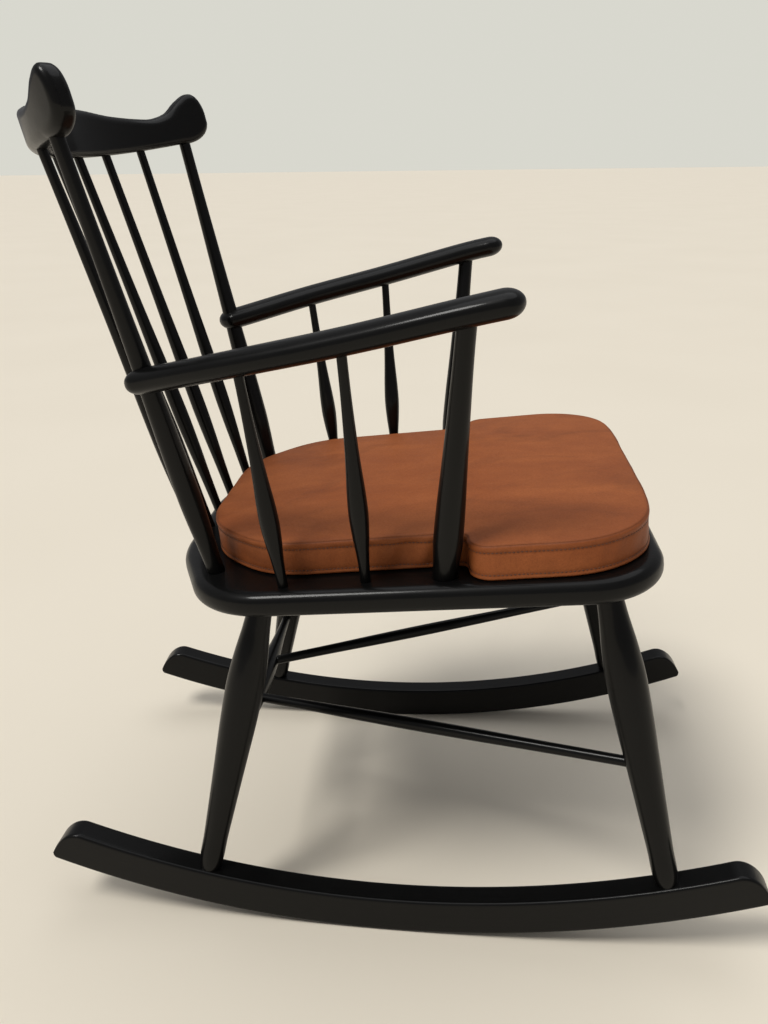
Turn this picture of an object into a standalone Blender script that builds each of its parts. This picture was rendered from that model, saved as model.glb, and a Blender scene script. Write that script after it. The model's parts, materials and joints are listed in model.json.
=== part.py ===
"""Spindle-back rocking chair with a loose box cushion.

Frame: metres, +Z up, the sitter faces -Y, the sitter's right is -X. The origin is on the floor,
under the middle of the chair's box. Turned pieces run into sockets of the pieces they join.
"""

import math

import bmesh
import bpy
from mathutils import Matrix, Vector

CHAIR = "rocking_chair"

# Fits and fineness
GAP = 0.0003
SOCKET_REACH = 0.014
SLENDER_SIDES = 12
STOUT_SIDES = 16
STOUT_RADIUS = 0.010
TURNING_STEPS = 3
PLAIN_END = 0.008
WELD = 0.00001
CORNER_STEP = math.radians(15)
SHARP_ANGLE = math.radians(40)

# Seat: a tilted slab, measured in its own plane from the chair's middle
SEAT_HEIGHT = 0.4243
SEAT_TILT = math.radians(5.5)
SEAT_THICKNESS = 0.0265
SEAT_EDGE_ROUNDING = 0.434 * SEAT_THICKNESS
SEAT_FRONT = -0.2600
SEAT_BACK = 0.2500
SEAT_FRONT_HALF_WIDTH = 0.2380
SEAT_REAR_HALF_WIDTH = 0.2170
SEAT_BACK_STRAIGHT = 0.085
SEAT_BACK_SHOULDER = 0.056
SEAT_FRONT_CORNER = 0.075
SEAT_REAR_CORNER = 0.095
SEAT_BACK_CURVE = 0.15
SEAT_CORNER_STEP = math.radians(9)

# Rockers: two arcs, lowest a little behind the middle and further apart at the front
ROCKER_LENGTH = 0.788
ROCKER_RADIUS = 1.10
ROCKER_HEIGHT = 0.043
ROCKER_THICKNESS = 0.028
ROCKER_EDGE_ROUNDING = 0.003
ROCKER_SPREAD = 0.210
ROCKER_LOW_POINT = 0.012
ROCKER_SPLAY = math.radians(1.8)
ROCKER_END_TOP = 0.026
ROCKER_END_BOTTOM = 0.0055
ROCKER_TIP_SHARE = 0.16
ROCKER_FACETS = 21
ROCKER_CAP_STEPS = 5
ROCKER_CAP_CLEARANCE = 1.3

# Legs: top as (x, y) under the seat, foot as y on the rocker's top edge
LEG_PLACES = {"front": ((0.155, -0.2060), -0.2870), "rear": ((0.145, 0.1435), 0.2130)}
LEG_TOP_RADIUS = 0.0125
LEG_SWELL_RADIUS = 0.0208
LEG_SWELL_AT = 0.34
LEG_ANKLE_RADIUS = 0.0159
LEG_ANKLE_AT = 0.72
LEG_FOOT_RADIUS = 0.0130
LEG_TOP_TENON = 0.018
LEG_FOOT_SINK = 0.004
LEG_TENON_RADIUS = 0.0080
LEG_ROCKER_TENON = 0.022

# Stretchers
REAR_STRETCHER_HEIGHT = 0.181
REAR_STRETCHER_RADIUS = 0.0125
STRETCHER_END_RADIUS = 0.0058
STRETCHER_TENON = 0.012
DIAGONAL_SPREAD = 0.042
DIAGONAL_RADIUS = 0.0075
DIAGONAL_SWELL_AT = 0.45
DIAGONAL_FRONT_HEIGHT = 0.216
DIAGONAL_TENON = 0.006

# Back: posts and spindles stand on an arc in the seat and meet a wider arc in the crest rail
BACK_FOOT_ARC_RADIUS = 0.300
BACK_FOOT_ARC_BACK = 0.2330
POST_FOOT_X = 0.153
BACK_LEAN = 0.22
CREST_ARC_RADIUS = 0.268
CREST_ARC_BACK = 0.3612
POST_CREST_X = 0.187
SPINDLES = 6
POST_TOP_RADIUS = 0.0066
POST_SWELL_RADIUS = 0.0118
POST_FOOT_RADIUS = 0.0090
POST_RADII = (POST_TOP_RADIUS, POST_SWELL_RADIUS, POST_FOOT_RADIUS)
POST_SWELL_AT = 0.20
SPINDLE_TOP_RADIUS = 0.0048
SPINDLE_SWELL_RADIUS = 0.0084
SPINDLE_FOOT_RADIUS = 0.0052
SPINDLE_SWELL_AT = 0.30
NECK_AT = 0.62
NECK_SHARE = 0.35
SEAT_TENON = 0.016
CREST_TENON = 0.018

# Crest rail, drawn flat along its arc: distance from the middle, height above its lowest edge
CREST_BASE_HEIGHT = 0.808
CREST_HALF_LENGTH = 0.2435
CREST_THICKNESS = 0.0215
CREST_EDGE_ROUNDING = 0.0075
CREST_TOP_EDGE = (
    (0.0, 0.050),
    (0.055, 0.0488),
    (0.105, 0.0440),
    (0.158, 0.0422),
    (0.190, 0.0485),
    (0.212, 0.0640),
    (0.2290, 0.0718),
)
CREST_EAR_DROP = 0.023
CREST_BOTTOM_RISE = 0.015
CREST_END_START = 0.201
CREST_END_RISE = 0.027
CREST_COLUMNS = 30
CREST_ROWS = 4
CREST_EDGE_ANGLE = math.radians(50)
CREST_EDGE_STEPS = 3

# Arms
ARM_WIDTH = 0.042
ARM_THICKNESS = 0.0245
ARM_ROUTE = (
    (0.167, 0.253, 0.609),
    (0.178, 0.226, 0.615),
    (0.210, 0.140, 0.637),
    (0.231, 0.040, 0.661),
    (0.247, -0.060, 0.687),
    (0.247, -0.110, 0.698),
)
ARM_SECTIONS = 18
ARM_SIDES = 16
ARM_END_STEPS = 0.42
ARM_END_SQUARED = 0.05
ARM_HOLE_REACH = 0.03

# Pieces under the arm: place along the arm's depth, foot on the seat
ARM_POST_Y = (-0.0635, -0.0475)
ARM_POST_FOOT_X = 0.200
ARM_POST_TOP_RADIUS = 0.0088
ARM_POST_SWELL_RADIUS = 0.0142
ARM_POST_FOOT_RADIUS = 0.0125
ARM_POST_SWELL_AT = 0.16
ARM_SPINDLE_Y = ((0.140, 0.1115), (0.0435, 0.0295))
ARM_SPINDLE_FOOT_X = 0.200
ARM_SPINDLE_TOP_RADIUS = 0.0047
ARM_SPINDLE_SWELL_RADIUS = 0.0095
ARM_SPINDLE_FOOT_RADIUS = 0.0052
ARM_SPINDLE_SWELL_AT = 0.33
ARM_TENON = 0.012

# Cushion: T-shaped, in the seat's own plane
CUSHION_THICKNESS = 0.036
CUSHION_EDGE_ROUNDING = 0.005
CUSHION_FRONT = -0.2545
CUSHION_FRONT_BOW = 0.0095
CUSHION_FRONT_STRAIGHT = 0.110
CUSHION_FRONT_CURVE = 0.35
CUSHION_WING_HALF_WIDTH = 0.222
CUSHION_WING_BACK = -0.0710
CUSHION_REAR_HALF_WIDTH = 0.1825
CUSHION_BACK = 0.2095
CUSHION_BACK_STRAIGHT = 0.102
CUSHION_BACK_SHOULDER = 0.077
CUSHION_SIDE_TAPER = 0.002
CUSHION_FRONT_CORNER = 0.088
CUSHION_WING_CORNER = 0.022
CUSHION_NOTCH_CORNER = 0.010
CUSHION_REAR_CORNER = 0.100
CUSHION_BACK_CURVE = 0.115
CUSHION_WALL = 0.0015
ZIP_LENGTH = 0.100
ZIP_WIDTH = 0.006

BLACK_LACQUER = ("black_lacquer", (0.012, 0.012, 0.013), 0.35, 0.0)
COGNAC_LEATHER = ("cognac_leather", (0.30, 0.085, 0.030), 0.45, 0.0)
CUSHION_FOAM = ("cushion_foam", (0.80, 0.74, 0.55), 0.95, 0.0)
ZIP_TAPE = ("zip_tape", (0.10, 0.040, 0.020), 0.70, 0.0)


def clear_scene():
    for obj in list(bpy.data.objects):
        bpy.data.objects.remove(obj, do_unlink=True)


def new_collection(name, parent):
    collection = bpy.data.collections.new(name)
    parent.children.link(collection)
    return collection


def material(finish):
    name, colour, roughness, metallic = finish
    made = bpy.data.materials.get(name)
    if made is None:
        made = bpy.data.materials.new(name)
        made.use_nodes = True
        shader = made.node_tree.nodes["Principled BSDF"]
        shader.inputs["Base Color"].default_value = (*colour, 1.0)
        shader.inputs["Roughness"].default_value = roughness
        shader.inputs["Metallic"].default_value = metallic
    return made


def smooth_value(points, x):
    """A smooth curve through (x, y) points, flat at both ends, at each peak and where it is level."""
    for index in range(len(points) - 1):
        (x0, y0), (x1, y1) = points[index], points[index + 1]
        if x <= x1:
            break
    slopes = []
    for place in (index, index + 1):
        slope = 0.0
        if 0 < place < len(points) - 1:
            before, here, after = points[place - 1 : place + 2]
            if (here[1] - before[1]) * (after[1] - here[1]) > 0:
                slope = (after[1] - before[1]) / (after[0] - before[0])
        slopes.append(slope)
    span = x1 - x0
    t = min(max((x - x0) / span, 0.0), 1.0)
    return (
        y0 * (1 + 2 * t) * (1 - t) ** 2
        + slopes[0] * span * t * (1 - t) ** 2
        + y1 * t * t * (3 - 2 * t)
        + slopes[1] * span * t * t * (t - 1)
    )


def rounded_outline(corners, step=CORNER_STEP):
    """Corners (x, y, radius), listed anticlockwise, as points with each corner turned into an arc."""
    outline = []
    for index, (x, y, radius) in enumerate(corners):
        here = Vector((x, y))
        to_before = (Vector(corners[index - 1][:2]) - here).normalized()
        to_after = (Vector(corners[(index + 1) % len(corners)][:2]) - here).normalized()
        opening = to_before.angle(to_after)
        centre = here + (to_before + to_after).normalized() * radius / math.sin(opening / 2)
        start = here + to_before * radius / math.tan(opening / 2) - centre
        end = here + to_after * radius / math.tan(opening / 2) - centre
        turn = -start.angle_signed(end)
        pieces = max(1, round(abs(turn) / step))
        for piece in range(pieces + 1):
            outline.append(centre + Matrix.Rotation(turn * piece / pieces, 2) @ start)
    return outline


def both_sides(half):
    """Corners of the +X half, from front to back, and their mirror images."""
    return half + [(-x, y, radius) for x, y, radius in reversed(half)]


def add_object(name, mesh, finish, collection):
    obj = bpy.data.objects.new(name, mesh)
    collection.objects.link(obj)
    if finish is not None:
        mesh.materials.append(material(finish))
        mesh.shade_smooth()
        mesh.set_sharp_from_angle(angle=SHARP_ANGLE)
    else:
        obj.hide_render = True
        obj.display_type = "WIRE"
    return obj


def mesh_of(maker):
    """The closed mesh of a curve or of an object with modifiers, which is then removed."""
    bpy.context.view_layer.update()
    evaluated = maker.evaluated_get(bpy.context.evaluated_depsgraph_get())
    mesh = bpy.data.meshes.new_from_object(evaluated)
    mesh.transform(maker.matrix_world)
    body = bmesh.new()
    body.from_mesh(mesh)
    bmesh.ops.remove_doubles(body, verts=body.verts, dist=WELD)
    bmesh.ops.recalc_face_normals(body, faces=body.faces)
    body.to_mesh(mesh)
    body.free()
    mesh.materials.clear()
    bpy.data.objects.remove(maker, do_unlink=True)
    return mesh


def slab_mesh(outline, thickness, rounding, place, inset=0.0):
    """A flat outline with rounded edges, centred on its own plane and moved to its place."""
    curve = bpy.data.curves.new("outline", "CURVE")
    curve.dimensions = "2D"
    curve.fill_mode = "BOTH"
    curve.extrude = thickness / 2 - rounding
    curve.bevel_depth = rounding
    curve.bevel_resolution = 1
    curve.offset = -rounding - inset
    spline = curve.splines.new("POLY")
    spline.points.add(len(outline) - 1)
    for point, (x, y) in zip(spline.points, outline):
        point.co = (x, y, 0.0, 1.0)
    spline.use_cyclic_u = True
    maker = bpy.data.objects.new("outline", curve)
    maker.matrix_world = place
    bpy.context.scene.collection.objects.link(maker)
    return mesh_of(maker)


def along(start, end):
    """The placement whose +Z runs from start to end."""
    turn = Vector((0, 0, 1)).rotation_difference(end - start)
    return Matrix.LocRotScale(start, turn, None)


def sides_for(radius):
    return STOUT_SIDES if radius > STOUT_RADIUS else SLENDER_SIDES


def cylinder_cutter(name, start, end, radius, collection):
    mesh = bpy.data.meshes.new(name)
    body = bmesh.new()
    bmesh.ops.create_cone(
        body,
        cap_ends=True,
        segments=STOUT_SIDES,
        radius1=radius,
        radius2=radius,
        depth=(end - start).length,
        matrix=along((start + end) / 2, end),
    )
    body.to_mesh(mesh)
    body.free()
    return add_object(name, mesh, None, collection)


def turning_stations(profile):
    """Where a turned piece gets a ring: at each point of its profile, and between where it curves."""
    stations = [profile[0][0]]
    for (start, start_radius), (end, end_radius) in zip(profile, profile[1:]):
        steps = 1 if start_radius == end_radius else TURNING_STEPS
        stations += [start + (end - start) * step / steps for step in range(1, steps + 1)]
    return stations


class Workshop:
    """Holds the collections, and the sockets that each piece gets before it is done."""

    def __init__(self):
        self.parts = new_collection(CHAIR, bpy.context.scene.collection)
        self.cutters = new_collection("cutters", bpy.context.scene.collection)
        self.sockets = {}

    def add(self, name, mesh, finish=BLACK_LACQUER):
        return add_object(name, mesh, finish, self.parts)

    def socket(self, piece, end, inward, radius, depth, reach=SOCKET_REACH):
        """A hole in the piece for a round end that stops at this point, running along inward."""
        if piece not in self.sockets:
            self.sockets[piece] = new_collection(f"{piece}_sockets", self.cutters)
        inward = inward.normalized()
        name = f"{piece}_socket_{len(self.sockets[piece].objects) + 1}"
        bottom = end + inward * GAP
        mouth = end - inward * (depth + reach)
        cylinder_cutter(name, mouth, bottom, radius + GAP, self.sockets[piece])

    def turned(self, name, start, end, profile):
        """A turned piece from start to end. Its profile gives (distance, radius) along the axis."""
        length = (end - start).length
        sides = sides_for(max(radius for _, radius in profile))
        curve_points = [Vector((0.0, 0.0, length))]
        for distance in reversed(turning_stations(profile)):
            curve_points.append(Vector((smooth_value(profile, distance), 0.0, distance)))
        curve_points.append(Vector((0.0, 0.0, 0.0)))
        mesh = bpy.data.meshes.new(name)
        edges = [(index, index + 1) for index in range(len(curve_points) - 1)]
        mesh.from_pydata(curve_points, edges, [])
        obj = self.add(name, mesh)
        screw = obj.modifiers.new("turning", "SCREW")
        screw.steps = sides
        screw.render_steps = sides
        screw.use_merge_vertices = True
        screw.merge_threshold = WELD
        screw.use_smooth_shade = True
        obj.matrix_world = along(start, end)
        return obj

    def cut_sockets(self):
        for piece, holes in self.sockets.items():
            cut = bpy.data.objects[piece].modifiers.new("sockets", "BOOLEAN")
            cut.operation = "DIFFERENCE"
            cut.operand_type = "COLLECTION"
            cut.collection = holes
            cut.solver = "EXACT"


def seat_point(x, y, above=0.0):
    """The point of the seat's top plane over (x, y), moved straight up by above."""
    return Vector((x, y, SEAT_HEIGHT - y * math.tan(SEAT_TILT) + above))


def seat_plane(above):
    """The placement of the plane parallel to the seat's top and this far over it."""
    return (
        Matrix.Translation((0.0, 0.0, SEAT_HEIGHT))
        @ Matrix.Rotation(-SEAT_TILT, 4, "X")
        @ Matrix.Translation((0.0, 0.0, above))
    )


def rocker_tips():
    """The angles of the rocker's two tips about its centre."""
    tips = (-ROCKER_LENGTH / 2, ROCKER_LENGTH / 2)
    return [math.asin((tip - ROCKER_LOW_POINT) / ROCKER_RADIUS) for tip in tips]


def rocker_facet():
    """The angle of one flat facet of the running edge. The middle one lies flat on the floor."""
    front, back = rocker_tips()
    return (back - front) / ROCKER_FACETS


def rocker_centre_height():
    return ROCKER_RADIUS * math.cos(rocker_facet() / 2)


def rocker_edge(y, radius):
    """Height of the arc of this radius about the rocker's centre."""
    across = y - ROCKER_LOW_POINT
    return rocker_centre_height() - math.sqrt(radius**2 - across**2)


def build_seat(shop):
    half = [
        (SEAT_FRONT_HALF_WIDTH, SEAT_FRONT, SEAT_FRONT_CORNER),
        (SEAT_REAR_HALF_WIDTH, SEAT_BACK - SEAT_BACK_SHOULDER, SEAT_REAR_CORNER),
        (SEAT_BACK_STRAIGHT, SEAT_BACK, SEAT_BACK_CURVE),
    ]
    outline = rounded_outline(both_sides(half), SEAT_CORNER_STEP)
    mesh = slab_mesh(outline, SEAT_THICKNESS, SEAT_EDGE_ROUNDING, seat_plane(-SEAT_THICKNESS / 2))
    shop.add("seat", mesh)


def rocker_cap(tip, inward):
    """The rounded end of a rocker, from the running edge round the tip to the top edge."""
    corner = []
    quarters = ((ROCKER_END_BOTTOM, -ROCKER_TIP_SHARE), (ROCKER_END_TOP, 1 - ROCKER_TIP_SHARE))
    for reach, rise in quarters:
        quarter = []
        for step in range(ROCKER_CAP_STEPS + 1):
            t = math.radians(90) * step / ROCKER_CAP_STEPS
            height = ROCKER_HEIGHT * (ROCKER_TIP_SHARE + rise * math.sin(t))
            inset = reach * (1 - math.cos(t))
            quarter.append((ROCKER_RADIUS - height, tip + inward * inset / ROCKER_RADIUS))
        corner.append(quarter)
    bottom, top = corner
    return bottom[::-1] + top[1:]


def rocker_outline():
    """The rocker's side view: the running edge from front to back, and the top edge back again."""
    front, back = rocker_tips()
    facet = rocker_facet()
    flat_ends = [(step + 0.5) * facet for step in range(-ROCKER_FACETS, ROCKER_FACETS)]
    low_cap = ROCKER_CAP_CLEARANCE * ROCKER_END_BOTTOM / ROCKER_RADIUS
    high_cap = ROCKER_CAP_CLEARANCE * ROCKER_END_TOP / ROCKER_RADIUS
    running = [angle for angle in flat_ends if front + low_cap < angle < back - low_cap]
    inner = [angle for angle in reversed(flat_ends) if front + high_cap < angle < back - high_cap]
    route = [(ROCKER_RADIUS, angle) for angle in running]
    route += rocker_cap(back, -1)
    route += [(ROCKER_RADIUS - ROCKER_HEIGHT, angle) for angle in inner]
    route += reversed(rocker_cap(front, 1))
    centre = rocker_centre_height()
    outline = []
    for radius, angle in route:
        outline.append((ROCKER_LOW_POINT + radius * math.sin(angle), centre - radius * math.cos(angle)))
    return outline


def rocker_plane(sign):
    """The placement of a rocker's side view: upright, over its middle and turned by its splay."""
    upright = Matrix(((0, 0, 1, 0), (1, 0, 0, 0), (0, 1, 0, 0), (0, 0, 0, 1)))
    splayed = Matrix.Rotation(sign * ROCKER_SPLAY, 4, "Z") @ upright
    return Matrix.Translation((sign * ROCKER_SPREAD, 0, 0)) @ splayed


def rocker_top(y, sign):
    """The point of the middle of the rocker's top edge at this depth."""
    along = y / math.cos(ROCKER_SPLAY)
    return rocker_plane(sign) @ Vector((along, rocker_edge(along, ROCKER_RADIUS - ROCKER_HEIGHT), 0.0))


def build_rockers(shop):
    for side, sign in (("left", 1), ("right", -1)):
        mesh = slab_mesh(rocker_outline(), ROCKER_THICKNESS, ROCKER_EDGE_ROUNDING, rocker_plane(sign))
        shop.add(f"rocker_{side}", mesh)


def leg_axis(top, foot_y, sign):
    """The leg's line, from its end in the seat to its end in the rocker."""
    at_seat = seat_point(sign * top[0], top[1], -SEAT_THICKNESS / math.cos(SEAT_TILT))
    at_rocker = rocker_top(foot_y, sign)
    down = (at_rocker - at_seat).normalized()
    return at_seat - down * LEG_TOP_TENON, at_rocker + down * LEG_ROCKER_TENON


def leg_profile(length):
    top = LEG_TOP_TENON
    bottom = length - LEG_ROCKER_TENON
    span = bottom - top
    return (
        (0.0, LEG_TOP_RADIUS),
        (top + PLAIN_END, LEG_TOP_RADIUS),
        (top + LEG_SWELL_AT * span, LEG_SWELL_RADIUS),
        (top + LEG_ANKLE_AT * span, LEG_ANKLE_RADIUS),
        (bottom - PLAIN_END, LEG_FOOT_RADIUS),
        (bottom + LEG_FOOT_SINK, LEG_FOOT_RADIUS),
        (bottom + LEG_FOOT_SINK + GAP, LEG_TENON_RADIUS),
        (length, LEG_TENON_RADIUS),
    )


def build_legs(shop):
    """The four legs. Returns their lines by name."""
    lines = {}
    for side, sign in (("left", 1), ("right", -1)):
        for place, (top, foot) in LEG_PLACES.items():
            name = f"{place}_leg_{side}"
            start, end = leg_axis(top, foot, sign)
            shop.turned(name, start, end, leg_profile((end - start).length))
            shop.socket("seat", start, start - end, LEG_TOP_RADIUS, LEG_TOP_TENON)
            down = (end - start).normalized()
            foot = end - down * (LEG_ROCKER_TENON - LEG_FOOT_SINK)
            shop.socket(f"rocker_{side}", foot, down, LEG_FOOT_RADIUS, LEG_FOOT_SINK)
            shop.socket(f"rocker_{side}", end, down, LEG_TENON_RADIUS, LEG_ROCKER_TENON, 0.0)
            lines[name] = (start, end)
    return lines


def at_height(line, z):
    start, end = line
    return start + (end - start) * (z - start.z) / (end.z - start.z)


def stretcher_profile(length, near_tenon, swell_radius, swell_at):
    return (
        (0.0, STRETCHER_END_RADIUS),
        (near_tenon + PLAIN_END, STRETCHER_END_RADIUS),
        (swell_at * length, swell_radius),
        (length - STRETCHER_TENON - PLAIN_END, STRETCHER_END_RADIUS),
        (length, STRETCHER_END_RADIUS),
    )


def build_rear_stretcher(shop, legs):
    """The stretcher between the rear legs. Returns its middle."""
    left = at_height(legs["rear_leg_left"], REAR_STRETCHER_HEIGHT)
    right = at_height(legs["rear_leg_right"], REAR_STRETCHER_HEIGHT)
    across = (right - left).normalized()
    inset = LEG_SWELL_RADIUS - STRETCHER_TENON
    start = left + across * inset
    end = right - across * inset
    profile = stretcher_profile((end - start).length, STRETCHER_TENON, REAR_STRETCHER_RADIUS, 0.5)
    shop.turned("rear_stretcher", start, end, profile)
    shop.socket("rear_leg_left", start, -across, STRETCHER_END_RADIUS, STRETCHER_TENON)
    shop.socket("rear_leg_right", end, across, STRETCHER_END_RADIUS, STRETCHER_TENON)
    return (start + end) / 2


def build_diagonal_stretchers(shop, legs, middle):
    """The two stretchers from near the middle of the rear one to the front legs."""
    for side, sign in (("left", 1), ("right", -1)):
        leg = f"front_leg_{side}"
        front = at_height(legs[leg], DIAGONAL_FRONT_HEIGHT)
        back = middle + Vector((sign * DIAGONAL_SPREAD, 0.0, 0.0))
        forward = (front - back).normalized()
        start = back + forward * (REAR_STRETCHER_RADIUS - DIAGONAL_TENON)
        end = front - forward * (LEG_SWELL_RADIUS - STRETCHER_TENON)
        length = (end - start).length
        profile = stretcher_profile(length, DIAGONAL_TENON, DIAGONAL_RADIUS, DIAGONAL_SWELL_AT)
        shop.turned(f"diagonal_stretcher_{side}", start, end, profile)
        shop.socket("rear_stretcher", start, -forward, STRETCHER_END_RADIUS, DIAGONAL_TENON)
        shop.socket(leg, end, forward, STRETCHER_END_RADIUS, STRETCHER_TENON)


def crest_point(distance, height, outward=0.0):
    """A point of the crest rail: distance along its arc, height over its base, outward of mid-wood."""
    radius = CREST_ARC_RADIUS + outward
    angle = distance / CREST_ARC_RADIUS
    z = CREST_BASE_HEIGHT + height
    centre_y = CREST_ARC_BACK - CREST_ARC_RADIUS + BACK_LEAN * (height - CREST_BOTTOM_RISE)
    return Vector((radius * math.sin(angle), centre_y + radius * math.cos(angle), z))


def crest_bottom(distance):
    """Height of the crest rail's lower edge."""
    rise = CREST_BOTTOM_RISE * min(distance / CREST_END_START, 1.0) ** 2
    beyond = max(distance - CREST_END_START, 0.0) / (CREST_HALF_LENGTH - CREST_END_START)
    return rise + CREST_END_RISE * (1 - math.sqrt(max(1 - beyond**2, 0.0)))


def crest_top(distance):
    """Height of the crest rail's upper edge."""
    peak, height = CREST_TOP_EDGE[-1]
    beyond = max(distance - peak, 0.0) / (CREST_HALF_LENGTH - peak)
    return smooth_value(CREST_TOP_EDGE, min(distance, peak)) - CREST_EAR_DROP * (
        1 - math.sqrt(max(1 - beyond**2, 0.0))
    )


def build_crest_rail(shop):
    bpy.ops.mesh.primitive_grid_add(x_subdivisions=CREST_COLUMNS, y_subdivisions=CREST_ROWS, size=2.0)
    sheet = bpy.context.object
    for vertex in sheet.data.vertices:
        across, up, _ = vertex.co
        distance = CREST_HALF_LENGTH * math.sin(across * math.pi / 2)
        low = crest_bottom(abs(distance))
        high = crest_top(abs(distance))
        vertex.co = crest_point(distance, low + (high - low) * (up + 1) / 2)
    thicken = sheet.modifiers.new("thickness", "SOLIDIFY")
    thicken.thickness = CREST_THICKNESS
    thicken.offset = 0.0
    thicken.use_even_offset = True
    soften = sheet.modifiers.new("edges", "BEVEL")
    soften.width = CREST_EDGE_ROUNDING
    soften.segments = CREST_EDGE_STEPS
    soften.limit_method = "ANGLE"
    soften.angle_limit = CREST_EDGE_ANGLE
    shop.add("crest_rail", mesh_of(sheet))


def back_foot(x):
    """Where the line of posts and spindles meets the seat's top."""
    y = BACK_FOOT_ARC_BACK - BACK_FOOT_ARC_RADIUS + math.sqrt(BACK_FOOT_ARC_RADIUS**2 - x**2)
    return seat_point(x, y)


def back_head(x):
    """Where the line of posts and spindles meets the crest rail's lower edge."""
    distance = CREST_ARC_RADIUS * math.asin(x / CREST_ARC_RADIUS)
    return crest_point(distance, crest_bottom(abs(distance)))


def neck_radius(top_radius, swell_radius):
    """The radius where a post or spindle has narrowed from its swell."""
    return NECK_SHARE * swell_radius + (1 - NECK_SHARE) * top_radius


def upright_profile(length, head_tenon, radii, swell_at):
    """A post or spindle from its end in the seat to its end in the piece above."""
    top_radius, swell_radius, foot_radius = radii
    span = length - SEAT_TENON - head_tenon
    return (
        (0.0, foot_radius),
        (SEAT_TENON + PLAIN_END, foot_radius),
        (SEAT_TENON + swell_at * span, swell_radius),
        (SEAT_TENON + NECK_AT * span, neck_radius(top_radius, swell_radius)),
        (length - head_tenon - PLAIN_END, top_radius),
        (length, top_radius),
    )


def build_upright(shop, name, start, end, radii, swell_at, top_piece, head_tenon):
    """A post or spindle with its sockets in the seat and in the piece above."""
    up = (end - start).normalized()
    shop.turned(name, start, end, upright_profile((end - start).length, head_tenon, radii, swell_at))
    shop.socket("seat", start, -up, radii[2], SEAT_TENON)
    shop.socket(top_piece, end, up, radii[0], head_tenon)


def build_back(shop):
    """Posts and spindles. Returns the lines of the two posts by side."""
    count = SPINDLES + 2
    posts = {}
    for index in range(count):
        place = 1 - 2 * index / (count - 1)
        foot = back_foot(POST_FOOT_X * place)
        head = back_head(POST_CREST_X * place)
        up = (head - foot).normalized()
        start = foot - up * SEAT_TENON
        end = head + up * CREST_TENON
        if index in (0, count - 1):
            side = "left" if index == 0 else "right"
            name = f"back_post_{side}"
            radii = POST_RADII
            swell_at = POST_SWELL_AT
            posts[side] = (start, end)
        else:
            name = f"back_spindle_{index}"
            radii = (SPINDLE_TOP_RADIUS, SPINDLE_SWELL_RADIUS, SPINDLE_FOOT_RADIUS)
            swell_at = SPINDLE_SWELL_AT
        build_upright(shop, name, start, end, radii, swell_at, "crest_rail", CREST_TENON)
    return posts


def route_point(points, t):
    """A point of the smooth curve through these points, with t from 0 to 1."""
    place = t * (len(points) - 1)
    index = min(int(place), len(points) - 2)
    local = place - index
    near = [Vector(points[min(max(step, 0), len(points) - 1)]) for step in range(index - 1, index + 3)]
    return 0.5 * (
        2 * near[1]
        + (near[2] - near[0]) * local
        + (2 * near[0] - 5 * near[1] + 4 * near[2] - near[3]) * local**2
        + (3 * near[1] - near[0] - 3 * near[2] + near[3]) * local**3
    )


def arm_at(y, sign):
    """The point of the arm's middle line at this depth."""
    low, high = 0.0, 1.0
    for _ in range(40):
        middle = (low + high) / 2
        if route_point(ARM_ROUTE, middle).y > y:
            low = middle
        else:
            high = middle
    x, y, z = route_point(ARM_ROUTE, low)
    return Vector((sign * x, y, z))


def arm_mesh(sign):
    section = bpy.data.curves.new("arm_section", "CURVE")
    section.dimensions = "2D"
    oval = section.splines.new("POLY")
    oval.points.add(ARM_SIDES - 1)
    for index, point in enumerate(oval.points):
        angle = 2 * math.pi * index / ARM_SIDES
        point.co = (ARM_WIDTH / 2 * math.cos(angle), ARM_THICKNESS / 2 * math.sin(angle), 0.0, 1.0)
    oval.use_cyclic_u = True
    cutter = bpy.data.objects.new("arm_section", section)
    bpy.context.scene.collection.objects.link(cutter)
    rail = bpy.data.curves.new("arm_rail", "CURVE")
    rail.dimensions = "3D"
    rail.twist_mode = "Z_UP"
    rail.bevel_mode = "OBJECT"
    rail.bevel_object = cutter
    rail.use_fill_caps = True
    spline = rail.splines.new("POLY")
    spline.points.add(ARM_SECTIONS)
    for index, point in enumerate(spline.points):
        t = 0.5 - 0.5 * math.cos(math.pi * index / ARM_SECTIONS)
        x, y, z = route_point(ARM_ROUTE, t)
        point.co = (sign * x, y, z, 1.0)
        from_end = min(t, 1 - t) * (len(ARM_ROUTE) - 1) / ARM_END_STEPS
        point.radius = math.sqrt(max(1 - (1 - min(from_end, 1.0)) ** 2, ARM_END_SQUARED))
    maker = bpy.data.objects.new("arm_rail", rail)
    bpy.context.scene.collection.objects.link(maker)
    mesh = mesh_of(maker)
    bpy.data.objects.remove(cutter, do_unlink=True)
    return mesh


def cut_arm_for_post(shop, arm, sign, start, end):
    """The hole through the arm where the back post passes."""
    crossing = at_height((start, end), arm_at(ARM_ROUTE[1][1], sign).z)
    up = (end - start).normalized()
    profile = upright_profile((end - start).length, CREST_TENON, POST_RADII, POST_SWELL_AT)
    widest = smooth_value(profile, (crossing - start).length - ARM_THICKNESS)
    shop.socket(arm, crossing + up * ARM_HOLE_REACH, up, widest, ARM_HOLE_REACH, ARM_HOLE_REACH)


def build_arm_upright(shop, name, arm, head, foot, radii, swell_at):
    """A post or spindle from the seat to the underside of the arm."""
    up = (head - foot).normalized()
    underside = head - up * ARM_THICKNESS / 2
    start = foot - up * SEAT_TENON
    end = underside + up * ARM_TENON
    build_upright(shop, name, start, end, radii, swell_at, arm, ARM_TENON)


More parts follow.
